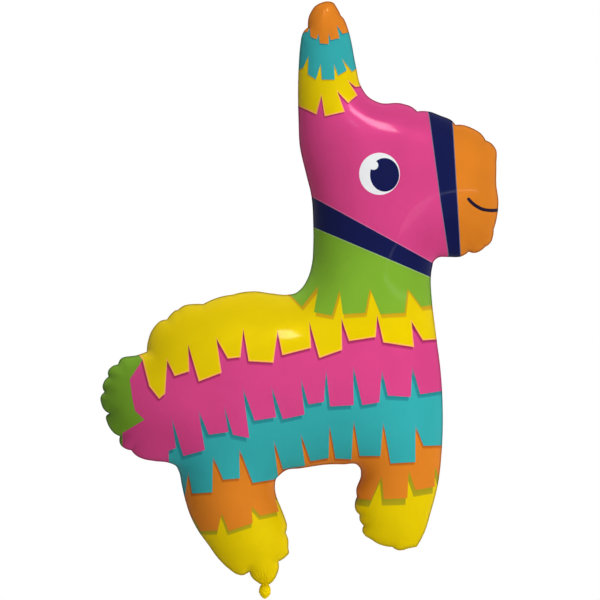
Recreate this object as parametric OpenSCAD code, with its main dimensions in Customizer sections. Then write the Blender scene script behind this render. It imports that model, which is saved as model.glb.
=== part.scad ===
// Foil balloon in the shape of a fringed donkey: two printed foil sheets, heat-sealed together
// round their edge and filled through a valve in the neck under the hind foot.
// Millimetres. X to the right and Z up as seen from the front, the front sheet swells towards -Y.
// The origin is the tied waist of the neck.

/* [Overall size] */
// Height from the tied waist to the tip of the ear
height = 870; // [350:10:1100]
// Greatest thickness of the filled balloon, front to back
depth = 226; // [120:2:300]

/* [Foil] */
// Thickness of one foil wall
wall = 1; // [0.6:0.1:2]
// Width of the flat heat seal round the edge
seal_w = 3; // [2:0.5:5]
// Thickness of the two welded sheets in the seal
seal_t = 1; // [0.4:0.1:2]
// Rise of a gathered lobe of the edge, as a share of its chord
lobe_rise = 0.17; // [0:0.01:0.25]

/* [Filling valve] */
// Width of the valve's free tongue
valve_w = 24; // [12:1:28]
// Height of the tongue's end above the waist
valve_h = 120; // [70:5:150]
// Thickness of one valve film
film_t = 0.3; // [0.2:0.05:0.5]
// Gap between the two films
film_gap = 0.1; // [0.05:0.05:0.3]

/* [Tied tail] */
// Diameter of the pinched neck
pinch_d = 10; // [8:0.5:12]
// Diameter of the knot
knot_d = 17; // [15:0.5:20]
// Lowest point of the knot below the waist
knot_drop = 21.5; // [20:0.5:24]
// Thickness of the turn of foil round the knot
turn_t = 4.4; // [3:0.2:5]
// Tilt of that turn
turn_tilt = 25; // [0:5:30]
// Running gap round the pinched neck
gap = 0.3; // [0.2:0.05:0.5]

/* [Smoothness] */
// Ribs between two points of the edge
rib_steps = 4; // [2:1:5]
// Facets up a rib, outside
outer_steps = 5; // [3:1:6]
// Facets up a rib, inside
inner_steps = 5; // [3:1:6]

/* [Hidden] */

drawn_height = 870;
drawn_rise = 113;
size_k = height / drawn_height;
rise_k = depth / 2 / drawn_rise;
// Room between the valve films and the wall that they are welded to
seat_gap = 0.02;
// How far the turn of foil stands proud of the knot
turn_proud = turn_t / 8;
// How far the edge of the seal sags below the waist
waist_sag = 1.5;
// Step of the round end of the valve's tongue, in degrees
tongue_step = 15;
exact_fn = 96;

// Crown of the filled shape, the ridge line down the middle of each limb: x, z, rise above the seal
CROWN = [
    [90, 823, 29],    // 0 ear tip
    [93, 759, 43],    // 1 ear
    [97, 704, 56],    // 2 root of the ear
    [124, 648, 75],   // 3 brow
    [179, 600, 91],   // 4 head
    [239, 594, 87],   // 5 muzzle
    [291, 588, 70],   // 6 snout
    [158, 513, 92],   // 7 throat
    [160, 432, 96],   // 8 neck
    [164, 350, 103],  // 9 chest
    [186, 260, 90],   // 10 shoulder
    [200, 178, 65],   // 11 fore shin
    [201, 104, 44],   // 12 fore foot
    [85, 308, 113],   // 13 barrel
    [20, 302, 113],   // 14 back
    [-40, 290, 110],  // 15 loin
    [-100, 275, 99],  // 16 rump
    [-153, 265, 81],  // 17 root of the tail
    [-198, 263, 60],  // 18 tail
    [-58, 212, 96],   // 19 haunch
    [-53, 138, 71],   // 20 hock
    [-34, 74, 52],    // 21 hind foot
    [-9, 38, 36],     // 22 throat of the filling neck
    [-1, 20, 26],     // 23 filling neck
];
NECK = 23;

// Edge of the sheets, clockwise from the ear tip: x, z, the crown point that its rib climbs to, and
// 1 where the stretch up to the next point is a gathered lobe, with the edge drawn in at both points
EDGE = [
    // ear, right side
    [91, 870, 0, 0], [108, 860, 0, 0], [112, 849, 0, 0], [125, 823, 0, 0], [136, 771, 1, 0],
    [145, 740, 2, 0],
    // brow and snout
    [171, 718, 3, 1], [227, 706, 4, 1], [285, 685, 5, 1], [329, 661, 6, 0], [344, 648, 6, 0],
    [345, 595, 6, 0], [348, 570, 6, 0], [341, 534, 6, 1], [329, 506, 6, 1], [306, 495, 6, 0],
    // chin, chest and front of the fore leg
    [273, 488, 5, 0], [255, 484, 4, 0], [249, 466, 7, 0], [249, 421, 8, 0], [256, 361, 9, 0],
    [265, 268, 10, 0], [262, 174, 11, 0], [246, 104, 12, 0],
    // fore foot and back of the fore leg
    [227, 56, 12, 1], [190, 56, 12, 1], [166, 62, 12, 1], [148, 87, 12, 1], [141, 104, 12, 1],
    [137, 131, 12, 0], [143, 164, 11, 0], [138, 178, 10, 0],
    // belly and front of the hind leg
    [116, 179, 9, 0], [52, 173, 13, 0], [31, 170, 14, 0], [20, 161, 15, 0], [15, 147, 19, 0],
    [22, 117, 20, 0], [31, 78, 21, 0], [35, 48, 21, 0],
    // filling neck
    [19, 33, 22, 0], [20, 20, 23, 0], [14, 7, 23, 0], [6, 0, 23, 0], [-6, 0, 23, 0],
    [-18, 8, 23, 0], [-23, 19, 22, 0],
    // hind foot and back of the hind leg
    [-32, 14, 21, 0], [-52, 22, 21, 0], [-68, 37, 21, 0], [-100, 81, 20, 0], [-124, 145, 19, 0],
    // tail
    [-132, 176, 15, 0], [-144, 183, 16, 0], [-181, 186, 17, 0], [-199, 201, 18, 1],
    [-217, 221, 18, 1], [-234, 254, 18, 1], [-241, 288, 18, 1], [-235, 311, 18, 1],
    [-221, 328, 18, 1], [-182, 344, 17, 0],
    // rump and back
    [-174, 364, 16, 1], [-145, 396, 16, 1], [-92, 418, 15, 1], [-49, 432, 14, 1], [33, 432, 13, 0],
    // nape and ear, left side
    [55, 442, 9, 0], [70, 478, 8, 0], [72, 516, 7, 0], [69, 580, 4, 0], [52, 653, 3, 0],
    [50, 707, 2, 0], [50, 767, 1, 0], [54, 812, 0, 0], [62, 830, 0, 0], [68, 853, 0, 0],
];
edge_n = len(EDGE);
rib_n = edge_n * rib_steps;

function unit(v) = v / norm(v);
function lerp(a, b, t) = a + (b - a) * t;
function edge_point(i) = size_k * [EDGE[i % edge_n].x, EDGE[i % edge_n].y];
function edge_crown(i) = EDGE[i % edge_n][2];
function heading(i) = unit(edge_point(i + 1) - edge_point(i + edge_n - 1));
function crown_point(c) = [size_k * CROWN[c].x, size_k * CROWN[c].y, rise_k * CROWN[c].z];

// Smooth curve through the edge's points, plus the belly of a gathered lobe
function edge_at(i, t) =
    let (a = edge_point(i), b = edge_point(i + 1), run = b - a, chord = norm(run))
    let (outward = [-run.y, run.x] / chord, belly = EDGE[i][3] * lobe_rise * chord * sin(180 * t))
    let (t2 = t * t, t3 = t2 * t)
    (2 * t3 - 3 * t2 + 1) * a + (3 * t2 - 2 * t3) * b
    + chord * ((t3 - 2 * t2 + t) * heading(i) + (t3 - t2) * heading(i + 1)) + belly * outward;

// The crown is walked once each way, so both walks take the same points between its ends
function crown_at(i, t) =
    let (a = edge_crown(i), b = edge_crown(i + 1))
    a < b ? lerp(crown_point(a), crown_point(b), t) : lerp(crown_point(b), crown_point(a), 1 - t);

// Each rib: its foot on the edge, and its head on the crown
RIBS = [for (i = [0:edge_n - 1], j = [0:rib_steps - 1])
    let (t = j / rib_steps)
    [edge_at(i, t), crown_at(i, t)]];

function rib_head(rib) = [rib[1].x, rib[1].y];
function rib_foot(rib, inset) = rib[0] + inset * unit(rib_head(rib) - rib[0]);

// A rib is a quarter of an ellipse from its foot up to the crown
function rib_points(rib, inset, drop, steps, side) =
    let (foot = rib_foot(rib, inset), run = rib_head(rib) - foot, rise = rib[1].z - drop)
    [for (s = [0:steps])
        let (a = 90 * s / steps, p = foot + run * (1 - cos(a)))
        [p.x, side * rise * sin(a), p.y]];

function flipped(face) = [face[0], face[2], face[1]];

// Triangles of the skin over all ribs, clockwise seen from the front.
// Two ribs that share a head end in one triangle
function skin(first, steps) =
    [for (i = [0:rib_n - 1], s = [0:steps - 1])
        let (j = (i + 1) % rib_n, a = first + i * (steps + 1) + s, b = first + j * (steps + 1) + s)
        let (shared = s == steps - 1 && RIBS[i][1] == RIBS[j][1])
        each shared ? [[a, b, b + 1]] : [[a, b, b + 1], [a, b + 1, a + 1]]];

// Flat rim between the feet of the outer and the inner skin
function rim(outer_first, inner_first) =
    [for (i = [0:rib_n - 1])
        let (j = (i + 1) % rib_n)
        let (a = outer_first + i * (outer_steps + 1), b = outer_first + j * (outer_steps + 1))
        let (c = inner_first + j * (inner_steps + 1), d = inner_first + i * (inner_steps + 1))
        each [[a, b, c], [a, c, d]]];

// One filled sheet: side is -1 for the front and 1 for the back
module foil_sheet(side) {
    outer = [for (rib = RIBS) each rib_points(rib, seal_w, 0, outer_steps, side)];
    inner = [for (rib = RIBS) each rib_points(rib, seal_w + wall, wall, inner_steps, side)];
    first_inner = len(outer);
    outer_faces = skin(0, outer_steps);
    inner_faces = [for (f = skin(first_inner, inner_steps)) flipped(f)];
    rim_faces = [for (f = rim(0, first_inner)) flipped(f)];
    front_faces = concat(outer_faces, inner_faces, rim_faces);
    polyhedron(concat(outer, inner), side < 0 ? front_faces : [for (f = front_faces) flipped(f)]);
}

// Lays a flat drawing of x and z on the plane of the seal, grown from y = from to y = to
module in_seal_plane(from, to) {
    translate([0, to, 0]) rotate([90, 0, 0]) linear_extrude(to - from) children();
}

module front_foil() {
    color([0.86, 0.28, 0.53]) foil_sheet(-1);
}

module back_foil() {
    color([0.80, 0.24, 0.48]) foil_sheet(1);
}

// The two sheets welded flat together outside the bubble
module heat_seal() {
    outer = [for (rib = RIBS) rib[0]];
    inner = [for (rib = RIBS) rib_foot(rib, seal_w)];
    outer_loop = [for (i = [0:rib_n - 1]) i];
    inner_loop = [for (i = outer_loop) rib_n + i];
    color([0.88, 0.78, 0.05])
        in_seal_plane(-seal_t / 2, seal_t / 2) polygon(concat(outer, inner), [outer_loop, inner_loop]);
}

// One valve film: welded into the seal round the filling neck, with a free tongue up into the hind foot
module valve_film(from, to) {
    in_neck = [for (i = [0:edge_n - 1]) if (edge_crown(i) >= NECK - 1) i];
    first_rib = in_neck[0] * rib_steps;
    last_rib = in_neck[len(in_neck) - 1] * rib_steps;
    welded = [for (r = [first_rib:last_rib]) rib_foot(RIBS[r], seal_w + wall + seat_gap)];
    tongue_x = crown_point(NECK).x;
    tongue_r = valve_w / 2;
    tongue_z = valve_h - tongue_r;
    tongue = [for (a = [180:-tongue_step:0]) [tongue_x + tongue_r * cos(a), tongue_z + tongue_r * sin(a)]];
    in_seal_plane(from, to) polygon(concat(welded, tongue));
}

module valve_front_film() {
    color([0.90, 0.92, 0.94, 0.6]) valve_film(-film_gap / 2 - film_t, -film_gap / 2);
}

module valve_back_film() {
    color([0.90, 0.92, 0.94, 0.6]) valve_film(film_gap / 2, film_gap / 2 + film_t);
}

// Where the neck is pinched shut, and its limp end swings from
pinch_z = -pinch_d / 2 - gap - waist_sag;

module neck_pinch() {
    color([0.84, 0.73, 0.05]) translate([0, 0, pinch_z]) sphere(d = pinch_d, $fn = exact_fn);
}

// End of the neck knotted on itself, with one turn of foil standing proud, cupped under the pinched neck
module tail_knot() {
    color([0.88, 0.77, 0.05])
        difference() {
            translate([0, 0, knot_d / 2 - knot_drop]) {
                sphere(d = knot_d, $fn = exact_fn);
                rotate([0, turn_tilt, 0])
                    rotate_extrude($fn = exact_fn)
                        translate([(knot_d - turn_t) / 2 + turn_proud, 0])
                            circle(d = turn_t, $fn = exact_fn);
            }
            translate([0, 0, pinch_z]) sphere(d = pinch_d + 2 * gap, $fn = exact_fn);
        }
}

front_foil();
back_foil();
heat_seal();
valve_front_film();
valve_back_film();
neck_pinch();
tail_knot();
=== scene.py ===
"""Looks of a foil balloon in the shape of a fringed donkey.

The two printed sheets, the heat seal round them, the gathered neck and the knot are meshes built here in
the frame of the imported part. Their sizes and points are in millimetres, x to the right and z up as seen
from the front. Materials and the stage are in metres, as everything in Blender is.
"""

import math

import bpy
import numpy as np
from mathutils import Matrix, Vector, kdtree
from mathutils.geometry import delaunay_2d_cdt


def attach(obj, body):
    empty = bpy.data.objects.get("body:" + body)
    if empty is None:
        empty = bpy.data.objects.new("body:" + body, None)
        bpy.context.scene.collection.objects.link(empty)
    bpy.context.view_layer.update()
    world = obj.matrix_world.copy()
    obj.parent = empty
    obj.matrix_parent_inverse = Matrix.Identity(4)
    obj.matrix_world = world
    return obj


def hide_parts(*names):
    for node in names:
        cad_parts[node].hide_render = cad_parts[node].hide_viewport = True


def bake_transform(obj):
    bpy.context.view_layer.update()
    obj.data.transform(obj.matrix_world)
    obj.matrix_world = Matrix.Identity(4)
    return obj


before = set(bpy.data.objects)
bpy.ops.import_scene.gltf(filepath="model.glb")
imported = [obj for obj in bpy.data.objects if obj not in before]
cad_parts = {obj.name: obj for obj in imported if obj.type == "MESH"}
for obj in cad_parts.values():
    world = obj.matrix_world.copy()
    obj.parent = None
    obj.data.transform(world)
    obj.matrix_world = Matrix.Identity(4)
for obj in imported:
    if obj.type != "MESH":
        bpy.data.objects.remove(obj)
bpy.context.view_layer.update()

MM = 0.001            # one millimetre, in metres

# Sheets and seal
SEAL_W = 1.2          # width of the flat seal outside the bubble
SEAL_HALF_T = 0.2     # half the thickness of the welded seal
SEAL_WAVE = 0.6       # how far the seal's free edge waves to the front and back
SEAL_WAVES = [(0.11, 0.16, 0.0), (0.23, -0.09, 1.0)]   # the waves' turns along x and z, and their starts
RISE = 0.85           # rise of the filled sheet, as a share of a round tube's
SOLVER_STEPS = 4000   # most steps that the solver of the rise takes
SOLVER_ERROR = 1e-7   # share of the load that it may leave over

# Points of the sheets' mesh
EDGE_STEP = 2.5       # spacing along the seal
PRINT_STEP = 3.0      # spacing along the edges of the print
GRID_STEP = 4.0       # spacing on the open sheet
RINGS = (0.6, 1.8, 3.8, 6.8)   # rows that follow the seal, by their distance from it
RING_CLEAR = 0.9      # share of its distance that a row keeps from the rest of the seal
GRID_CLEAR = 0.7      # gap between the last row and the grid, as a share of the grid's spacing
PRINT_CLEAR = 1.5     # gap between the edges of the print and the points beside them
SEAM_CLEAR = 0.4      # gap between the seam and the points beside it
MERGE = 0.001         # points closer than this become one

# Gathers that run in from the points where the seal is drawn in
PUCKER_DEPTH = 0.13   # share of the rise that a gather takes away
PUCKER_REACH = 11.0   # how far it runs in
PUCKER_W = 2.0        # its width at the seal
PUCKER_SPREAD = 0.14  # how much it widens on its way in

# Folds that fan out above the tied waist
FAN_DROP = 8.0        # how far under the waist they start from
FAN_NEAR = 9.5        # distances from that start, between which the sheet has points along the folds
FAN_FAR = 34.0
FAN_STEP = 1.5        # spacing of those points
FAN_CLEAR = 1.0       # gap between them and the seam
FAN_TURN = 0.7        # how far the folds turn to each side, in radians
FAN_RAYS = 72         # rays that those points lie on
FAN_FOLD = 0.17       # turn from one fold to the next, in radians
FAN_DEPTH = 0.2       # share of the rise that a fold takes away at the waist
FAN_REACH = 13.0      # how far up the folds run

# Soft swells of the filled sheets: centre, radius and height
SWELLS = [((178, 705), 39, 4.0), ((216, 635), 39, -3.7), ((14, 382), 14, 1.5), ((31, 356), 14, 0.7)]

# Shallow folds of the filled sheets: path, half width and height
FOLDS = [
    ([(74, 859), (94, 854), (113, 848)], 5.0, 1.0),
    ([(232, 572), (213, 555), (201, 531), (196, 508)], 3.0, 0.4),
]
FOLD_STEP = 1.5       # spacing of the points on them
SOFT_LIMIT = 0.25     # most that a swell or a fold may change the rise by, as a share of it

# Pinched neck and knot: height, half width and half thickness, from top to bottom
NECK = [(2.5, 4.6, 1.6), (1, 5.3, 2.4), (0, 5.1, 2.8), (-1, 5.7, 3.6), (-2, 6.7, 4.6), (-3.5, 7.7, 5.8),
        (-5.2, 8.3, 6.9), (-6.6, 8.6, 7.6), (-7.3, 8.4, 7.6), (-7.2, 7.6, 7.0), (-6.5, 5.0, 4.0)]
KNOT = [(-3, 0.2, 0.2), (-3.2, 3.6, 3.2), (-4.2, 6.2, 5.6), (-6, 7.8, 7.0), (-8, 8.6, 7.9),
        (-10.5, 8.9, 8.4), (-13, 8.4, 8.1), (-15.5, 7.2, 7.1), (-17.8, 5.4, 5.4), (-19.6, 3.4, 3.4),
        (-20.8, 1.6, 1.6), (-21.2, 0.2, 0.2)]
GATHER_STEP = 0.4     # spacing of their rings
GATHER_SIDES = 72     # points round a ring
GATHER_END = 1.0      # half width under which their pleats and turns fade out
PLEATS = [(9, 0.5, 0.0), (14, 0.3, 1.0)]   # pleats round the neck, how far they stand out, and their starts
PLEAT_TOP = 1.0       # height at which they are deepest
PLEAT_REACH = 4.0     # how far they run from there
TURN_Z = -12.5        # height of the turn of foil round the knot
TURN_TILT = 3.0       # how far it rises and falls on its way round
TURN_START = 0.6      # turn of its lowest place from the right to the front, in radians
TURN_OUT = 0.3        # how far it stands out
TURN_W = 2.4          # its half width
GROOVE_IN = 0.35      # depth of the grooves above and below it
GROOVE_OFF = 3.6      # their distance from its middle
GROOVE_W = 0.9        # their half width

# Foil: noise is given by its scale, its lowest value and its highest
TONE_NOISE = (14, 0.95, 1.03)
ROUGHNESS_NOISE = (40, 0.28, 0.38)
CRINKLE_NOISE = (70, 0, 1)
FILM_NOISE = (60, 0.2, 0.4)
NOISE_SPAN = (0.3, 0.7)          # values that most of the noise lies between
COAT = 0.06                      # weight of the glossy coat
DULL_CENTRE = (0.185, 0, 0.31)   # middle of the chest, where the sheets have no coat
DULL_NEAR = 0.06                 # distance from it at which the coat begins, and at which it is whole
DULL_FAR = 0.12

# Stage
FLOOR_Z = -0.6
FLOOR_R = 2.6
FLOOR_SIDES = 64
FLOOR_GREY = 0.48
AMBIENT = 0.08        # strength of the even light from all round
VIEW_CENTRE = Vector((0.0523, 0, 0.4240))   # point in the middle of the picture
VIEW_WIDTH = 0.894    # width of what the picture shows there
CAMERA_DISTANCE = 30.0
CAMERA_REACH = 100.0  # nothing further away is seen
SENSOR_W = 36.0       # in millimetres, as Blender takes it

# Lamps: azimuth and elevation in degrees, distance, width and height, and watts. Azimuth turns from the
# front to the right. Lamps light the foil and don't show in it, and panels only show in it.
LAMPS = {
    "side": (50, 4, 6.0, (2.4, 2.4), 75),
    "fill": (-50, 5, 6.0, (2.4, 2.4), 22),
    "front": (20, -26, 1.6, (1.2, 0.5), 8.9),
    "top": (5, 60, 6.0, (2.4, 2.4), 235),
    "rim": (100, 0, 6.0, (2.4, 2.4), 70),
    "back_side": (140, 5, 6.0, (2.4, 2.4), 200),
    "back_top": (-155, 45, 6.0, (2.4, 2.4), 150),
}
PANELS = {
    "brow_panel": (23, 62.5, 6.0, (1.2, 1.7), 440),
    "back_panel": (-12, 51, 6.0, (0.6, 1.5), 165),
    "throat_panel": (26, -7, 6.0, (0.4, 1.9), 20),
    "nose_panel": (52, 3.6, 6.0, (5.6, 0.2), 50),
}


# Colours

def srgb(red, green, blue):
    """Linear colour of a display colour that is given from 0 to 255."""
    share = np.array([red, green, blue]) / 255
    return np.where(share <= 0.04045, share / 12.92, ((share + 0.055) / 1.055) ** 2.4)


PINK = srgb(215, 69, 134)
YELLOW = srgb(232, 202, 4)
TEAL = srgb(53, 170, 173)
ORANGE = srgb(224, 130, 36)
GREEN = srgb(126, 175, 48)
TAIL_GREEN = srgb(118, 165, 44)
NAVY = srgb(20, 26, 78)
EYE_WHITE = srgb(236, 237, 239)
MOUTH = srgb(34, 26, 48)

SHADE_ON_YELLOW = srgb(202, 156, 26)
SHADE_ON_PINK = srgb(148, 36, 76)
SHADE_ON_TEAL = srgb(38, 130, 138)
SHADE_ON_ORANGE = srgb(176, 84, 22)
SHADE_ON_FOOT = srgb(164, 152, 28)

# Painted shade along the seal: the print's colours are darkened beside the seam and on the seal
SEAM_PAINTED_SHADE = 0.25      # how much the painted shade darkens at the seam
SEAM_PAINTED_SHADE_W = 1.6     # how far in the painted shade reaches
SEAL_PAINTED_SHADE = 0.66      # factor of the painted shade on the seal's print

# Hairlines where two inks meet, with their width and their strength
TAB_LINE = {"colour": srgb(255, 180, 88), "width": 2.1, "strength": 1.0}
STRAP_LINE = {"colour": srgb(214, 205, 220), "width": 1.2, "strength": 0.24}

# The top of a slit takes on the row's own colour, or this dark one
SLIT_DARK = srgb(104, 56, 26)
SLIT_FADE = 0.75      # share of that colour at the very top
SLIT_W = 4.0          # half the width that the fade covers there
SLIT_SPREAD = 0.4     # how much that half widens on its way down


# Outline of the sheets, clockwise. Each stretch is one smooth curve that ends at the first point of the
# next, and the edge is drawn in where two stretches meet.
OUTLINE = [
    # right side of the ear, and brow
    [(113, 848), (117, 844), (121, 836), (125, 824), (136, 771), (143, 743), (154, 727), (171, 718),
     (203, 717), (220, 711)],
    [(227, 705), (244, 705), (261, 699), (280, 690)],
    # snout
    [(284, 685), (294, 685), (309, 680), (322, 672)],
    [(329, 662), (338, 657), (344, 649), (345, 627), (345, 595), (348, 570), (347, 555), (344, 539)],
    [(341, 529), (340, 519), (336, 509)],
    [(328, 503), (321, 497), (313, 494)],
    # chin, chest and front of the fore leg
    [(304, 496), (293, 489), (273, 488), (258, 487), (252, 482), (249, 471), (249, 422), (253, 389),
     (256, 365), (262, 317), (265, 265), (264, 207), (257, 145), (247, 107), (238, 78)],
    # fore foot
    [(226, 56), (215, 54), (204, 51), (199, 51)],
    [(190, 56), (176, 58)],
    [(166, 62), (157, 68), (149, 73), (145, 80)],
    [(147, 88), (144, 91), (141, 97)],
    [(141, 104), (135, 111), (134, 121)],
    # back of the fore leg, belly and front of the hind leg
    [(137, 131), (136, 140), (143, 164), (142, 173), (138, 178), (116, 179), (97, 179), (52, 173),
     (31, 170), (23, 164), (17, 158), (15, 148), (17, 132), (23, 117), (30, 99), (33, 88)],
    [(31, 77), (35, 66), (35, 54), (36, 47), (33, 43), (27, 38)],
    # filling neck, down to its tied waist
    [(20, 34), (21, 25), (18, 15), (13, 6)],
    [(6, 0)],
    [(-6, 0), (-9, 2), (-16, 7), (-21, 13)],
    # hind foot and back of the hind leg
    [(-23, 19), (-26, 17), (-32, 14), (-41, 15), (-52, 22), (-68, 37), (-85, 60), (-100, 81),
     (-112, 105), (-119, 127), (-124, 149), (-128, 168), (-133, 177), (-142, 181), (-165, 184),
     (-181, 187), (-193, 193)],
    # tail
    [(-199, 200), (-209, 203), (-215, 208), (-217, 214)],
    [(-216, 221), (-224, 225), (-231, 233), (-236, 244), (-237, 250)],
    [(-232, 255), (-240, 261), (-244, 270), (-245, 279)],
    [(-239, 287), (-242, 294), (-240, 302)],
    [(-233, 310), (-234, 317), (-228, 325)],
    [(-219, 328), (-216, 335), (-190, 342)],
    # rump and back
    [(-176, 347), (-174, 364), (-167, 381), (-153, 394)],
    [(-146, 395), (-139, 404), (-132, 409)],
    [(-130, 409), (-120, 416), (-108, 418)],
    [(-92, 418), (-69, 428)],
    # nape, and left side of the ear
    [(-49, 432), (-15, 437), (9, 434), (33, 432), (45, 434), (55, 442), (64, 457), (70, 478), (72, 505),
     (72, 534), (69, 580), (61, 613), (52, 653), (50, 692), (50, 767), (53, 806), (55, 818), (59, 826)],
    # tip of the ear
    [(64, 830), (64, 838), (65, 845), (69, 854), (75, 862), (84, 867), (95, 869), (102, 867), (107, 860),
     (111, 853)],
]


# Fringe rows: the lower corners of their tabs from left to right, and the top of the slit after each tab.
# The outer corners of a row lie outside the outline.
FRINGE = {
    "hind_leg": {
        "tabs": [[(-140, 104), (-107, 100)], [(-96, 80), (-70, 81)], [(-54, 80), (-18, 92)],
                 [(-7, 103), (21, 109)], [(30, 136), (80, 136)]],
        "slits": [(-106, 101), (-64, 108), (-20, 119), (14, 132)],
    },
    "fore_leg": {
        "tabs": [[(80, 131), (120, 131), (158, 126)], [(177, 128), (212, 129)], [(224, 141), (253, 146)],
                 [(260, 158), (280, 158)]],
        "slits": [(174, 163), (214, 172), (253, 178)],
    },
    "belly": {
        "tabs": [[(-150, 128), (-119, 132)], [(-108, 136), (-78, 138)], [(-62, 157), (-37, 159)],
                 [(-18, 152), (20, 158)], [(27, 172), (60, 177)], [(68, 184), (95, 189)],
                 [(105, 188), (129, 187)], [(141, 192), (172, 192)], [(187, 181), (224, 183)],
                 [(236, 207), (280, 208)]],
        "slits": [(-114, 169), (-77, 192), (-38, 204), (13, 217), (53, 227), (96, 239), (132, 246),
                  (176, 243), (224, 238)],
    },
    "flank": {
        "tabs": [[(-260, 170), (-143, 170), (-143, 200), (-132, 204)], [(-121, 192), (-89, 201)],
                 [(-83, 224), (-54, 228)], [(-47, 224), (-23, 219)], [(-15, 245), (17, 250)],
                 [(27, 247), (59, 254)], [(65, 269), (88, 273)], [(97, 266), (132, 268)],
                 [(145, 268), (170, 272)], [(183, 282), (217, 280)], [(231, 284), (280, 291)]],
        "slits": [(-139, 252), (-99, 262), (-61, 269), (-33, 296), (9, 299), (53, 310), (91, 323),
                  (131, 328), (174, 321), (219, 327)],
    },
    "back": {
        "tabs": [[(-192, 347), (-182, 335), (-172, 296), (-157, 277), (-148, 285)],
                 [(-134, 311), (-112, 318)], [(-98, 303), (-64, 316)], [(-55, 337), (-36, 339)],
                 [(-24, 333), (13, 331)], [(26, 342), (69, 353)], [(81, 338), (115, 350)],
                 [(125, 363), (165, 369)], [(176, 361), (222, 354)], [(235, 364), (280, 367)]],
        "slits": [(-145, 334), (-114, 358), (-72, 367), (-32, 381), (19, 378), (66, 392), (114, 396),
                  (167, 401), (218, 392)],
    },
    "neck": {
        "tabs": [[(30, 440), (55, 414)], [(73, 406), (100, 401)], [(116, 403), (149, 405)],
                 [(172, 403), (208, 405)], [(233, 414), (280, 422)]],
        "slits": [(80, 446), (111, 440), (156, 442), (212, 442)],
    },
    "ear_root": {
        "tabs": [[(30, 722), (77, 700)], [(89, 697), (119, 704)], [(124, 717), (138, 729)],
                 [(135, 741), (170, 748)]],
        "slits": [(84, 728), (108, 734), (124, 750)],
    },
    "ear_middle": {
        "tabs": [[(30, 758), (57, 770)], [(64, 760), (76, 752)], [(85, 752), (104, 752)],
                 [(109, 758), (122, 766)], [(130, 764), (160, 790)]],
        "slits": [(65, 787), (83, 775), (103, 775), (115, 783)],
    },
    "ear_tip": {
        "tabs": [[(40, 817), (64, 824)], [(68, 816), (77, 812)], [(82, 806), (95, 805)],
                 [(98, 811), (111, 814)], [(116, 820), (150, 832)]],
        "slits": [(67, 831), (80, 822), (95, 822), (107, 834)],
    },
}

# Shapes of the print that aren't fringe
TAIL_TIP = [(-194, 348), (-182, 335), (-201, 306), (-197, 277), (-193, 259), (-179, 246), (-212, 226),
            (-212, 208), (-209, 190), (-260, 190), (-260, 350)]
THROAT_STRAP = [(60, 583), (260, 473.5), (260, 452.3), (60, 537.7)]
HEAD = [(40, 594), (60, 583), (260, 473.5), (380, 473.5), (380, 880), (40, 880)]
NOSE_STRAP = [(242, 712), (243, 704), (261, 567), (273, 489), (274.5, 479), (292.7, 479), (292, 490),
              (285, 603), (280, 690), (279.5, 700)]
SNOUT = [(279.5, 700), (280, 690), (285, 603), (292, 490), (292.7, 479), (380, 479), (380, 700)]
EYE = {"centre": (170.5, 611.5), "radii": (30.3, 31.3)}
PUPIL = {"centre": (178, 610), "radii": (21.7, 25)}
GLINT = {"centre": (161.7, 624.3), "radii": (6.9, 6.9)}
MOUTH_LINE = [(303, 574), (314, 564), (324, 559), (333, 557.5), (352, 559)]
MOUTH_W = 5.0
ROUND_STEPS = 48      # corners of an ellipse
CAP_STEPS = 8         # parts of a line's round start
MITRE_LIMIT = 0.5     # least cosine at a corner of a hairline, under which the corner is cut short
PRINT_TOP = 880       # a height above the whole print


# Curves and regions in the plane of the seal

def unit(vectors):
    """The vectors at length 1."""
    return vectors / np.linalg.norm(vectors, axis=-1, keepdims=True)


def smooth_curve(points, step):
    """Points about every step along a smooth curve through the given points, without the last."""
    given = np.array(points, float)
    chord = np.linalg.norm(np.diff(given, axis=0), axis=1)
    length = np.concatenate([[0], np.cumsum(chord)])
    slope = np.gradient(given, length, axis=0, edge_order=2 if len(given) > 2 else 1)
    places = np.linspace(0, length[-1], int(math.ceil(length[-1] / step)) + 1)[:-1]
    i = np.clip(np.searchsorted(length, places, side="right") - 1, 0, len(chord) - 1)
    span = chord[i][:, None]
    s = (places - length[i])[:, None] / span
    start = (1 + 2 * s) * (1 - s) ** 2 * given[i] + s * (1 - s) ** 2 * span * slope[i]
    end = s * s * (3 - 2 * s) * given[i + 1] + s * s * (s - 1) * span * slope[i + 1]
    return start + end


def outline_loop():
    """The outline as one loop of points, and the places in it where two stretches meet."""
    stretches = []
    for i, stretch in enumerate(OUTLINE):
        following = OUTLINE[(i + 1) % len(OUTLINE)][0]
        stretches.append(smooth_curve(stretch + [following], EDGE_STEP))
    starts = np.cumsum([0] + [len(s) for s in stretches[:-1]])
    return np.concatenate(stretches), starts


def inward_normals(loop):
    """Unit directions from the points of a clockwise loop to its inside."""
    along = unit(np.roll(loop, -1, axis=0) - loop) + unit(loop - np.roll(loop, 1, axis=0))
    return unit(np.column_stack([along[:, 1], -along[:, 0]]))


def inside(points, polygon):
    """Which points lie inside a polygon."""
    result = np.zeros(len(points), bool)
    low, high = polygon.min(0), polygon.max(0)
    near = np.nonzero(((points > low) & (points < high)).all(1))[0]
    x, z = points[near].T
    found = np.zeros(len(near), bool)
    for (ax, az), (bx, bz) in zip(polygon, np.roll(polygon, -1, axis=0)):
        if az != bz:
            crosses = (az > z) != (bz > z)
            found ^= crosses & (x < ax + (z - az) / (bz - az) * (bx - ax))
    result[near] = found
    return result


def distance_to(points, path):
    """Distance from each point to an open path."""
    best = np.full(len(points), np.inf)
    for a, b in zip(path[:-1], path[1:]):
        run = b - a
        t = np.clip((points - a) @ run / (run @ run), 0, 1)
        best = np.minimum(best, np.linalg.norm(points - a - t[:, None] * run, axis=1))
    return best


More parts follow.
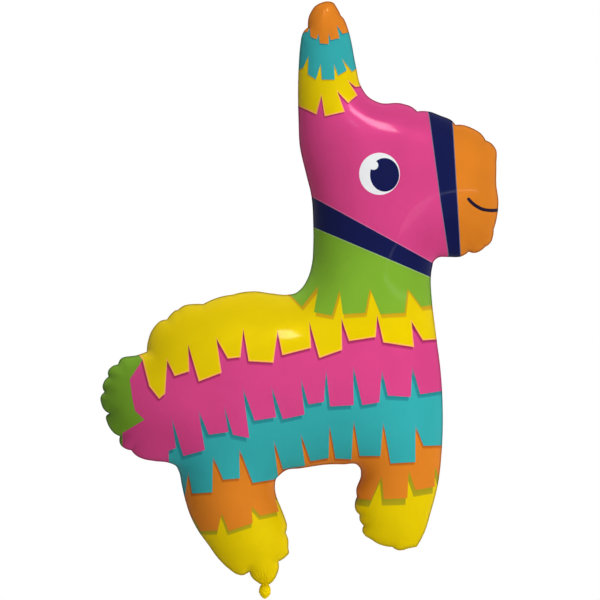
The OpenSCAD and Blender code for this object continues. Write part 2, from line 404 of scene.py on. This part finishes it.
def divided(path, step):
    """The path with points added so that none of its parts is longer than step."""
    parts = []
    for a, b in zip(path[:-1], path[1:]):
        n = max(1, int(math.ceil(np.linalg.norm(b - a) / step)))
        parts.append(a + (b - a) * (np.arange(n) / n)[:, None])
    return np.concatenate(parts + [path[-1:]])


def beside(path, gap):
    """The path shifted to its left by some gap, with its sharp corners cut short."""
    along = unit(np.diff(path, axis=0))
    ends = np.concatenate([along[:1], along, along[-1:]])
    if np.allclose(path[0], path[-1]):
        ends[0], ends[-1] = along[-1], along[0]
    before, after = ends[:-1], ends[1:]
    middle = before + after
    middle /= np.maximum(np.linalg.norm(middle, axis=1, keepdims=True), MITRE_LIMIT)
    side = np.column_stack([-middle[:, 1], middle[:, 0]])
    cosine = np.sum(before * middle, axis=1)
    return path + gap * side / np.maximum(cosine, MITRE_LIMIT)[:, None]


def closed(polygon):
    """The polygon as a path that comes back to its first point."""
    return np.concatenate([polygon, polygon[:1]])


def grid(x, z):
    """All the points with one of the given x and one of the given z."""
    columns, rows = np.meshgrid(x, z)
    return np.column_stack([columns.ravel(), rows.ravel()])


def ellipse(shape):
    """An ellipse as a polygon."""
    angle = np.linspace(0, 2 * math.pi, ROUND_STEPS, endpoint=False)
    ring = np.column_stack([np.cos(angle), np.sin(angle)])
    return np.array(shape["centre"]) + ring * np.array(shape["radii"])


def stroke(points, width):
    """Outline of a painted line with a round start."""
    line = np.concatenate([smooth_curve(points, PRINT_STEP), np.array(points[-1:], float)])
    along = unit(np.gradient(line, axis=0))
    side = np.column_stack([-along[:, 1], along[:, 0]]) * width / 2
    half = np.linspace(0, math.pi, CAP_STEPS + 1)[1:-1, None]
    cap = line[0] - side[0] * np.cos(half) - along[0] * width / 2 * np.sin(half)
    return np.concatenate([line + side, (line - side)[::-1], cap])


def fringe_edge(row):
    """The lower edge of a fringe row from left to right."""
    points = []
    for i, tab in enumerate(row["tabs"]):
        points += tab
        points += row["slits"][i:i + 1]
    return np.array(points, float)


def above(edge):
    """Everything above a fringe row's lower edge, as a polygon."""
    return np.concatenate([edge, [(edge[-1][0], PRINT_TOP), (edge[0][0], PRINT_TOP)]])


# Layers of the print

def fringe_layer(name, colour, shade, offset, soft, fade=0.0, slit=None, line=None):
    """A fringe row with its printed shadow: the shadow's colour, its offset, and how soft it is from 0 to 1.
    The tops of its slits fade out over some length, from the row's own colour or from that of slit."""
    edge = fringe_edge(FRINGE[name])
    return {"polygon": above(edge), "drawn": edge, "colour": colour, "shade": shade,
            "offset": np.array(offset, float), "soft": soft, "fade": fade,
            "slit": colour if slit is None else slit, "slits": FRINGE[name]["slits"], "line": line}


def plain_layer(points, colour, line=None):
    """A shape of one colour, which may have a hairline round it."""
    polygon = np.array(points, float)
    return {"polygon": polygon, "drawn": closed(polygon), "colour": colour, "shade": None, "fade": 0.0,
            "line": line}


# From what lies lowest to what lies on top
LAYERS = [
    fringe_layer("fore_leg", ORANGE, SHADE_ON_FOOT, (-3, -10), 0.25, fade=10),
    fringe_layer("hind_leg", ORANGE, SHADE_ON_FOOT, (-1.5, -6.5), 0.4, fade=10),
    fringe_layer("belly", TEAL, SHADE_ON_ORANGE, (-1.5, -4.5), 0.7, fade=14),
    fringe_layer("flank", PINK, SHADE_ON_TEAL, (-3.7, -6.5), 0.5, fade=18),
    fringe_layer("back", YELLOW, SHADE_ON_PINK, (-2, -5), 0.8, fade=12, slit=SLIT_DARK, line=TAB_LINE),
    plain_layer(TAIL_TIP, TAIL_GREEN),
    fringe_layer("neck", GREEN, SHADE_ON_YELLOW, (2, -6.5), 0.35, fade=8),
    plain_layer(HEAD, PINK),
    plain_layer(THROAT_STRAP, NAVY, line=STRAP_LINE),
    plain_layer(SNOUT, ORANGE),
    plain_layer(NOSE_STRAP, NAVY, line=STRAP_LINE),
    fringe_layer("ear_root", YELLOW, SHADE_ON_PINK, (-1, -2.5), 0.6, fade=8, slit=SLIT_DARK, line=TAB_LINE),
    fringe_layer("ear_middle", TEAL, SHADE_ON_YELLOW, (-1, -2.5), 0.6),
    fringe_layer("ear_tip", ORANGE, SHADE_ON_TEAL, (-1, -2.5), 0.6, fade=5),
    plain_layer(ellipse(EYE), EYE_WHITE),
    plain_layer(ellipse(PUPIL), NAVY),
    plain_layer(ellipse(GLINT), EYE_WHITE),
    plain_layer(stroke(MOUTH_LINE, MOUTH_W), MOUTH),
]


# Triangles of the flat sheet

def print_paths():
    """Every edge that the mesh follows because the colour changes there."""
    for layer in LAYERS:
        yield layer["drawn"]
        if layer["shade"] is not None:
            yield layer["drawn"] + layer["offset"]
        if layer["line"] is not None:
            yield beside(layer["drawn"], layer["line"]["width"])


def nearest(points, others):
    """Distance from each point to the nearest of the others."""
    tree = kdtree.KDTree(len(others))
    for i, (x, z) in enumerate(others):
        tree.insert((x, z, 0), i)
    tree.balance()
    return np.array([tree.find((x, z, 0))[2] for x, z in points])


def away_from(points, others, gap):
    """The points that are further than gap from all the others."""
    return points[nearest(points, others) > gap]


def ring_points(seam, normals):
    """Points in rows along the seam, closer together near it."""
    loop = closed(seam)
    rows = []
    for i, distance in enumerate(RINGS):
        row = (seam + distance * normals)[::1 + i // 2]
        rows.append(row[distance_to(row, loop) > RING_CLEAR * distance])
    return np.concatenate(rows)


def grid_points(seam):
    """Points in a triangular grid over the sheet, inside the rows along the seam."""
    low, high = seam.min(0), seam.max(0)
    row_step = GRID_STEP * math.sqrt(3) / 2
    rows = np.arange(low[1], high[1], row_step)
    columns = np.arange(low[0], high[0], GRID_STEP)
    points = grid(columns, rows)
    points[:, 0] += np.repeat(np.where(np.arange(len(rows)) % 2, GRID_STEP / 2, 0), len(columns))
    points = points[inside(points, seam)]
    return away_from(points, seam, RINGS[-1] + GRID_CLEAR * GRID_STEP)


def fan_points(seam):
    """Points along the folds above the waist."""
    away, turn = grid(np.arange(FAN_NEAR, FAN_FAR, FAN_STEP), np.linspace(-FAN_TURN, FAN_TURN, FAN_RAYS)).T
    points = np.column_stack([away * np.sin(turn), away * np.cos(turn) - FAN_DROP])
    points = points[inside(points, seam)]
    return away_from(points, seam, FAN_CLEAR)


def fold_points(seam):
    """Points close together along the shallow folds."""
    parts = []
    for path, half_width, _ in FOLDS:
        line = np.array(path, float)
        reach = 2 * half_width
        low, high = line.min(0) - reach, line.max(0) + reach
        points = grid(np.arange(low[0], high[0], FOLD_STEP), np.arange(low[1], high[1], FOLD_STEP))
        parts.append(points[distance_to(points, line) < reach])
    points = np.concatenate(parts)
    points = points[inside(points, seam)]
    return away_from(points, seam, RINGS[-1] / 2)


def free_points(seam, normals):
    """Points of the sheet that lie on no edge of the print."""
    points = np.concatenate([ring_points(seam, normals), grid_points(seam)])
    in_fan = np.hypot(points[:, 0], points[:, 1] + FAN_DROP) < FAN_FAR
    on_folds = fold_points(seam)
    elsewhere = away_from(points[~in_fan], on_folds, FOLD_STEP)
    return np.concatenate([elsewhere, on_folds, fan_points(seam)])


def triangulate(outline, seam, normals):
    """Points of the flat sheet, and its triangles: those of the bubble and those of the seal."""
    loops = [closed(outline), closed(seam)]
    paths = loops + [divided(path, PRINT_STEP) for path in print_paths()]
    fixed = np.concatenate(paths)
    ends = np.cumsum([len(p) for p in paths])
    last = set(ends - 1)
    edges = [(i, i + 1) for i in range(len(fixed)) if i not in last]
    free = away_from(free_points(seam, normals), fixed[ends[1]:], PRINT_CLEAR)
    free = free[distance_to(free, loops[1]) > SEAM_CLEAR]
    points = [Vector((x, z)) for x, z in np.concatenate([fixed, free])]
    placed, _, triangles = delaunay_2d_cdt(points, edges, [], 0, MERGE, False)[:3]
    flat = np.array([tuple(p) for p in placed])
    faces = np.array([f for f in triangles if len(f) == 3])
    centre = flat[faces].mean(1)
    kept = inside(centre, outline)
    faces, centre = faces[kept], centre[kept]
    in_bubble = inside(centre, seam)
    return flat, faces[in_bubble], faces[~in_bubble]


# Filling the sheet

def edges_of(faces):
    """Directed edges of triangles, with the triangle and the corner that each starts from."""
    sides = np.concatenate([faces[:, [0, 1]], faces[:, [1, 2]], faces[:, [2, 0]]])
    face = np.tile(np.arange(len(faces)), 3)
    corner = np.repeat(np.arange(3), len(faces))
    return sides, face, corner


def border(faces):
    """Which of the directed edges of the triangles belong to one triangle only."""
    sides = edges_of(faces)[0]
    _, first, count = np.unique(np.sort(sides, axis=1), axis=0, return_inverse=True, return_counts=True)
    return count[first.ravel()] == 1


def sparse_rows(faces, weights, size):
    """A function that multiplies a vector by the matrix summed from 3 by 3 blocks, one for each triangle."""
    row = np.repeat(faces, 3, axis=1).ravel()
    column = np.tile(faces, (1, 3)).ravel()
    order = np.argsort(row, kind="stable")
    column, value = column[order], weights.ravel()[order]
    begin = np.concatenate([[0], np.cumsum(np.bincount(row, minlength=size))[:-1]])
    return lambda x: np.add.reduceat(value * x[column], begin)


def solve(multiply, diagonal, load, held):
    """Conjugate gradients, with zero at the held points."""
    x = np.zeros(len(load))
    rest = np.where(held, 0, load)
    target = SOLVER_ERROR * np.linalg.norm(rest)
    step = rest / diagonal
    energy = rest @ step
    for _ in range(SOLVER_STEPS):
        pull = np.where(held, 0, multiply(step))
        length = energy / (step @ pull)
        x += length * step
        rest = rest - length * pull
        if np.linalg.norm(rest) < target:
            break
        scaled = rest / diagonal
        before, energy = energy, rest @ scaled
        step = scaled + energy / before * step
    return x


def filled_rise(flat, faces):
    """Rise of the filled sheet over its flat points. Its square curves evenly and is zero on the seam."""
    corners = flat[faces]
    side = np.roll(corners, 1, axis=1) - np.roll(corners, -1, axis=1)
    first, second = corners[:, 1] - corners[:, 0], corners[:, 2] - corners[:, 0]
    area = (first[:, 0] * second[:, 1] - first[:, 1] * second[:, 0]) / 2
    weights = np.einsum("fic,fjc->fij", side, side) / (4 * area[:, None, None])
    size = len(flat)
    diagonal = np.bincount(faces.ravel(), np.einsum("fii->fi", weights).ravel(), size)
    load = np.bincount(faces.ravel(), np.repeat(2 * area / 3, 3), size)
    held = np.zeros(size, bool)
    held[edges_of(faces)[0][border(faces)].ravel()] = True
    square = solve(sparse_rows(faces, weights, size), diagonal, load, held)
    return RISE * np.sqrt(np.maximum(square, 0))


def gathered_share(flat, outline, starts, normals):
    """Share of the rise that is left where gathers run in from the drawn-in points of the seal."""
    share = np.ones(len(flat))
    ahead = np.roll(outline, -1, axis=0) - outline
    behind = outline - np.roll(outline, 1, axis=0)
    for i in starts:
        turns_out = behind[i][0] * ahead[i][1] - behind[i][1] * ahead[i][0] > 0
        if turns_out:
            offset = flat - outline[i]
            depth = offset @ normals[i]
            aside = offset[:, 0] * normals[i][1] - offset[:, 1] * normals[i][0]
            width = PUCKER_W + PUCKER_SPREAD * np.maximum(depth, 0)
            dent = PUCKER_DEPTH * np.exp(-(depth / PUCKER_REACH) ** 2 - (aside / width) ** 2)
            share -= np.where(depth > -PUCKER_W, dent, 0)
    return share


def fanned_share(flat):
    """Share of the rise that is left where folds fan out above the tied waist."""
    x, z = flat.T
    turn = np.arctan2(x, z + FAN_DROP)
    fold = 0.5 - 0.5 * np.cos(2 * math.pi * turn / FAN_FOLD)
    return 1 - FAN_DEPTH * fold * np.exp(-(z / FAN_REACH) ** 2)


def limited(height, rise):
    """A height that stays small where the sheet is low, so that nothing reaches past the seam."""
    return np.clip(height, -SOFT_LIMIT * rise, SOFT_LIMIT * rise)


def swelled(flat, rise):
    """The rise with the soft swells added."""
    result = rise.copy()
    for centre, radius, height in SWELLS:
        away = np.linalg.norm(flat - np.array(centre), axis=1)
        result += limited(height, rise) * np.exp(-(away / radius) ** 2 / 2)
    return result


def folded(flat, rise):
    """The rise with the shallow folds added."""
    result = rise.copy()
    for path, half_width, height in FOLDS:
        away = distance_to(flat, np.array(path, float))
        result += limited(height, rise) * np.exp(-away / half_width)
    return result


# Painting the sheet

def smooth_step(t):
    """A step from 0 to 1 with soft ends."""
    t = np.clip(t, 0, 1)
    return t * t * (3 - 2 * t)


def mix(a, b, share):
    """The colours a with some share of b."""
    return a + (b - a) * share[..., None]


def paint_shade(colours, corners, centre, layer):
    """The shadow that a fringe row throws on what lies under it."""
    polygon, edge, offset = layer["polygon"], layer["drawn"], layer["offset"]
    where = inside(centre, polygon + offset) & ~inside(centre, polygon)
    spots = corners[where]
    reach = distance_to(spots.reshape(-1, 2), edge).reshape(-1, 3) / np.linalg.norm(offset)
    strength = 1 - layer["soft"] * smooth_step(reach)
    colours[where] = mix(colours[where], layer["shade"], strength)


def paint_fades(colours, corners, centre, layer):
    """The tops of the slits, which fade into what lies under the row."""
    open_faces = ~inside(centre, layer["polygon"])
    for x, z in layer["slits"]:
        below = z - centre[:, 1]
        in_length = (below > 0) & (below < layer["fade"])
        in_width = np.abs(centre[:, 0] - x) < SLIT_W + SLIT_SPREAD * below
        where = open_faces & in_length & in_width
        drop = (z - corners[where][:, :, 1]) / layer["fade"]
        colours[where] = mix(colours[where], layer["slit"], SLIT_FADE * (1 - smooth_step(drop)))


def paint_line(colours, centre, path, line):
    """A hairline along the left of a path."""
    band = np.concatenate([path, beside(path, line["width"])[::-1]])
    where = inside(centre, band)
    colours[where] += line["strength"] * (line["colour"] - colours[where])


def paint(flat, faces):
    """Colour of every corner of every triangle."""
    corners = flat[faces]
    centre = corners.mean(1)
    colours = np.tile(YELLOW, (len(faces), 3, 1))
    for layer in LAYERS:
        if layer["shade"] is not None:
            paint_shade(colours, corners, centre, layer)
        colours[inside(centre, layer["polygon"])] = layer["colour"]
        if layer["fade"]:
            paint_fades(colours, corners, centre, layer)
        if layer["line"] is not None:
            paint_line(colours, centre, layer["drawn"], layer["line"])
    return colours


def painted_seam_shade(flat, seam):
    """Factor of painted shade on the print at each point, which darkens it beside the seam."""
    return 1 - SEAM_PAINTED_SHADE * np.exp(-(nearest(flat, seam) / SEAM_PAINTED_SHADE_W) ** 2)


# Materials

def shader(name):
    """A new material with its main shader node, and functions that add a node and join two sockets."""
    material = bpy.data.materials.new(name)
    material.use_nodes = True
    tree = material.node_tree

    def add(kind, **settings):
        node = tree.nodes.new(kind)
        for key, value in settings.items():
            setattr(node, key, value)
        return node

    return material, tree.nodes["Principled BSDF"], add, tree.links.new


def map_range(add, join, value, start, end, low, high):
    """A value that lies from start to end, spread from low to high."""
    spread = add("ShaderNodeMapRange")
    spread.inputs["From Min"].default_value = start
    spread.inputs["From Max"].default_value = end
    spread.inputs["To Min"].default_value = low
    spread.inputs["To Max"].default_value = high
    join(value, spread.inputs["Value"])
    return spread.outputs["Result"]


def noise_range(add, join, place, scale, low, high, detail=2.0):
    """Noise of a scale, spread between two values."""
    noise = add("ShaderNodeTexNoise")
    noise.inputs["Scale"].default_value = scale
    noise.inputs["Detail"].default_value = detail
    join(place, noise.inputs["Vector"])
    return map_range(add, join, noise.outputs["Fac"], *NOISE_SPAN, low, high)


def dull_chest(add, join, place):
    """Weight of the glossy coat of a sheet that has none round the middle of the chest."""
    in_plane = add("ShaderNodeVectorMath", operation="MULTIPLY")
    join(place, in_plane.inputs[0])
    in_plane.inputs[1].default_value = (1, 0, 1)
    away = add("ShaderNodeVectorMath", operation="DISTANCE")
    join(in_plane.outputs["Vector"], away.inputs[0])
    away.inputs[1].default_value = DULL_CENTRE
    return map_range(add, join, away.outputs["Value"], DULL_NEAR, DULL_FAR, 0, COAT)


def foil_material(name, crinkle, is_sheet=False):
    """Satin foil in the colours of the attribute print, painted seam shade included, crinkled by some
    height. A sheet's chest is dull.
    """
    material, surface, add, join = shader(name)
    surface.inputs["Metallic"].default_value = 0.02
    surface.inputs["Specular IOR Level"].default_value = 0
    surface.inputs["Coat Weight"].default_value = COAT
    surface.inputs["Coat Roughness"].default_value = 0.08
    place = add("ShaderNodeTexCoord").outputs["Object"]
    if is_sheet:
        join(dull_chest(add, join, place), surface.inputs["Coat Weight"])
    ink = add("ShaderNodeAttribute", attribute_name="print")
    tone = add("ShaderNodeVectorMath", operation="SCALE")
    join(ink.outputs["Color"], tone.inputs[0])
    join(noise_range(add, join, place, *TONE_NOISE), tone.inputs["Scale"])
    join(tone.outputs["Vector"], surface.inputs["Base Color"])
    join(noise_range(add, join, place, *ROUGHNESS_NOISE), surface.inputs["Roughness"])
    bump = add("ShaderNodeBump")
    bump.inputs["Distance"].default_value = crinkle
    bump.inputs["Strength"].default_value = 0.5
    join(noise_range(add, join, place, *CRINKLE_NOISE, detail=3.0), bump.inputs["Height"])
    join(bump.outputs["Normal"], surface.inputs["Normal"])
    return material


def film_material(name):
    """Clear soft film, a little milky and uneven."""
    material, surface, add, join = shader(name)
    surface.inputs["Base Color"].default_value = (0.86, 0.89, 0.92, 1)
    surface.inputs["Transmission Weight"].default_value = 0.7
    surface.inputs["IOR"].default_value = 1.5
    place = add("ShaderNodeTexCoord").outputs["Object"]
    join(noise_range(add, join, place, *FILM_NOISE), surface.inputs["Roughness"])
    return material


# Pieces

def add_object(name, data):
    """A new object in the scene."""
    thing = bpy.data.objects.new(name, data)
    bpy.context.scene.collection.objects.link(thing)
    return thing


def mesh_piece(name, points, faces, colours, material):
    """A smooth piece of points in millimetres, with the colour of each face's corners."""
    mesh = bpy.data.meshes.new(name)
    mesh.from_pydata((np.asarray(points) * MM).tolist(), [], [list(f) for f in faces])
    mesh.shade_smooth()
    ink = mesh.color_attributes.new("print", "FLOAT_COLOR", "CORNER")
    opaque = np.column_stack([colours, np.ones(len(colours))])
    ink.data.foreach_set("color", opaque.astype(np.float32).ravel())
    mesh.materials.append(material)
    return add_object(name, mesh)


def compact(points, faces):
    """Only the points that the faces use."""
    used, renamed = np.unique(faces, return_inverse=True)
    return points[used], renamed.reshape(faces.shape)


def sheet_piece(name, flat, rise, faces, colours, side, material):
    """One filled sheet: side is -1 for the front and 1 for the back."""
    points = np.column_stack([flat[:, 0], side * (rise + SEAL_HALF_T), flat[:, 1]])
    if side > 0:
        faces, colours = faces[:, ::-1], colours[:, ::-1]
    return mesh_piece(name, points, faces, colours.reshape(-1, 3), material)


def seal_piece(name, flat, faces, colours, seam, material):
    """The welded margin: a front and a back face, with a rim round both edges and a free edge that waves."""
    flat, faces = compact(flat, faces)
    out = distance_to(flat, seam) / SEAL_W
    x, z = flat.T
    wave = sum(np.sin(along_x * x + along_z * z + start) for along_x, along_z, start in SEAL_WAVES)
    middle = SEAL_WAVE / 2 * out * wave
    front = np.column_stack([x, middle - SEAL_HALF_T, z])
    back = np.column_stack([x, middle + SEAL_HALF_T, z])
    sides, face, corner = edges_of(faces)
    rim = border(faces)
    start, end = sides[rim].T
    start_ink = colours[face[rim], corner[rim]]
    end_ink = colours[face[rim], (corner[rim] + 1) % 3]
    n = len(flat)
    all_faces = faces.tolist() + (faces[:, ::-1] + n).tolist()
    all_faces += np.column_stack([end, start, start + n, end + n]).tolist()
    rim_ink = np.stack([end_ink, start_ink, start_ink, end_ink], axis=1)
    ink = np.concatenate([c.reshape(-1, 3) for c in (colours, colours[:, ::-1], rim_ink)])
    return mesh_piece(name, np.concatenate([front, back]), all_faces, ink, material)


def neck_pleats(angle, z):
    """How far the neck's pleats stand out, which fade out down the collar."""
    pleats = sum(out * np.cos(count * angle + start) for count, out, start in PLEATS)
    return pleats * np.exp(-((z - PLEAT_TOP) / PLEAT_REACH) ** 2)


def knot_turn(angle, z):
    """How far one turn of foil stands out that lies askew round the knot, between two grooves."""
    off = z - TURN_Z + TURN_TILT * np.cos(angle + TURN_START)
    groove = GROOVE_IN * np.exp(-((np.abs(off) - GROOVE_OFF) / GROOVE_W) ** 2)
    return TURN_OUT * np.exp(-(off / TURN_W) ** 2) - groove


def gathered_piece(name, profile, shape, material):
    """A closed piece round the Z axis. shape gives how far a point stands out, by its angle and height."""
    rings = np.concatenate([smooth_curve(profile, GATHER_STEP), np.array(profile[-1:], float)])
    z, half_x, half_y = rings.T[:, :, None]
    angle = np.linspace(0, 2 * math.pi, GATHER_SIDES, endpoint=False)
    out = shape(angle, z) * np.minimum(half_x, GATHER_END) / GATHER_END
    x = np.cos(angle) * (half_x + out)
    y = np.sin(angle) * (half_y + out)
    points = np.stack([x, y, np.broadcast_to(z, x.shape)], axis=-1).reshape(-1, 3)
    ring = np.arange(GATHER_SIDES)
    following = (ring + 1) % GATHER_SIDES
    faces = []
    for i in range(len(rings) - 1):
        upper, lower = i * GATHER_SIDES, (i + 1) * GATHER_SIDES
        faces += np.column_stack([upper + ring, lower + ring, lower + following, upper + following]).tolist()
    faces.append(ring.tolist())
    faces.append((ring[::-1] + (len(rings) - 1) * GATHER_SIDES).tolist())
    corner_count = sum(len(f) for f in faces)
    return mesh_piece(name, points, faces, np.tile(YELLOW, (corner_count, 1)), material)


# Stage

def make_floor():
    """A round pale floor under the balloon, which hangs in the air."""
    mesh = bpy.data.meshes.new("floor")
    turns = np.linspace(0, 2 * math.pi, FLOOR_SIDES, endpoint=False)
    rim = [(FLOOR_R * math.cos(turn), FLOOR_R * math.sin(turn), FLOOR_Z) for turn in turns]
    mesh.from_pydata(rim, [], [list(range(FLOOR_SIDES))])
    material, surface, _, _ = shader("floor")
    surface.inputs["Base Color"].default_value = (FLOOR_GREY, FLOOR_GREY, FLOOR_GREY, 1)
    surface.inputs["Roughness"].default_value = 0.9
    mesh.materials.append(material)
    add_object("floor", mesh)


def make_world():
    """Even grey light, in front of a white background."""
    world = bpy.data.worlds.new("studio")
    bpy.context.scene.world = world
    world.use_nodes = True
    nodes, join = world.node_tree.nodes, world.node_tree.links.new
    light = nodes["Background"]
    light.inputs["Color"].default_value = (1, 1, 1, 1)
    light.inputs["Strength"].default_value = AMBIENT
    white = nodes.new("ShaderNodeBackground")
    white.inputs["Color"].default_value = (1, 1, 1, 1)
    white.inputs["Strength"].default_value = 1
    path = nodes.new("ShaderNodeLightPath")
    seen = path.outputs["Is Camera Ray"]
    for kind in ("Is Glossy Ray", "Is Transmission Ray"):
        either = nodes.new("ShaderNodeMath")
        either.operation = "MAXIMUM"
        join(seen, either.inputs[0])
        join(path.outputs[kind], either.inputs[1])
        seen = either.outputs[0]
    choice = nodes.new("ShaderNodeMixShader")
    join(seen, choice.inputs[0])
    join(light.outputs[0], choice.inputs[1])
    join(white.outputs[0], choice.inputs[2])
    join(choice.outputs[0], nodes["World Output"].inputs["Surface"])


def make_lamp(name, azimuth, elevation, distance, size, watts, glossy):
    """A rectangular lamp that shines at the middle of the balloon. A glossy one shows only in reflections,
    and the others never do."""
    turn, lift = math.radians(azimuth), math.radians(elevation)
    way = Vector((math.sin(turn) * math.cos(lift), -math.cos(turn) * math.cos(lift), math.sin(lift)))
    data = bpy.data.lights.new(name, "AREA")
    data.shape = "RECTANGLE"
    data.size, data.size_y = size
    data.energy = watts
    lamp = add_object(name, data)
    lamp.location = VIEW_CENTRE + distance * way
    lamp.rotation_mode = "QUATERNION"
    lamp.rotation_quaternion = (-way).to_track_quat("-Z", "Y")
    lamp.visible_camera = False
    lamp.visible_glossy = glossy
    lamp.visible_diffuse = not glossy


def make_camera():
    """A camera straight in front, far enough away to show no perspective."""
    data = bpy.data.cameras.new("camera")
    data.sensor_width = SENSOR_W
    data.lens = SENSOR_W * CAMERA_DISTANCE / VIEW_WIDTH
    data.clip_end = CAMERA_REACH
    camera = add_object("camera", data)
    camera.location = VIEW_CENTRE + Vector((0, -CAMERA_DISTANCE, 0))
    camera.rotation_euler = (math.pi / 2, 0, 0)
    bpy.context.scene.camera = camera


# The flat sheet
outline, starts = outline_loop()
normals = inward_normals(outline)
seam = outline + SEAL_W * normals
flat, bubble, margin = triangulate(outline, seam, normals)

# The two filled sheets
sheet_flat, bubble = compact(flat, bubble)
rise = filled_rise(sheet_flat, bubble) * fanned_share(sheet_flat)
rise *= gathered_share(sheet_flat, outline, starts, normals)
rise = folded(sheet_flat, swelled(sheet_flat, rise))
# The print, with painted shade darkening it beside the seam
sheet_print_and_shade = paint(sheet_flat, bubble) * painted_seam_shade(sheet_flat, seam)[bubble][:, :, None]
printed_foil = foil_material("printed_foil", crinkle=0.0004, is_sheet=True)
for side, node in ((-1, "front_foil"), (1, "back_foil")):
    sheet = sheet_piece(node + "_sheet", sheet_flat, rise, bubble, sheet_print_and_shade, side, printed_foil)
    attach(sheet, "balloon")
    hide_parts(node)

# The seal
seal_foil = foil_material("seal_foil", crinkle=0.0003)
# The seal's print, darkened all over by painted shade
seal_print_and_shade = SEAL_PAINTED_SHADE * paint(flat, margin)
seal = seal_piece("heat_seal_margin", flat, margin, seal_print_and_shade, closed(seam), seal_foil)
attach(seal, "balloon")
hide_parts("heat_seal")

# The pinched neck and the knot
neck_foil = foil_material("neck_foil", crinkle=0.0002)
neck = gathered_piece("pinched_neck", NECK, neck_pleats, neck_foil)
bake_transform(neck)
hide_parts("neck_pinch")

knot = gathered_piece("knotted_tail", KNOT, knot_turn, neck_foil)
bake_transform(knot)
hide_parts("tail_knot")

# The valve's films stay as they are, with a better material
valve_film = film_material("valve_film")
for node in ("valve_front_film", "valve_back_film"):
    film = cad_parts[node]
    film.data.materials.clear()
    film.data.materials.append(valve_film)

make_floor()
make_world()
for name, settings in LAMPS.items():
    make_lamp(name, *settings, glossy=False)
for name, settings in PANELS.items():
    make_lamp(name, *settings, glossy=True)
make_camera()
bpy.context.scene.view_settings.view_transform = "Standard"
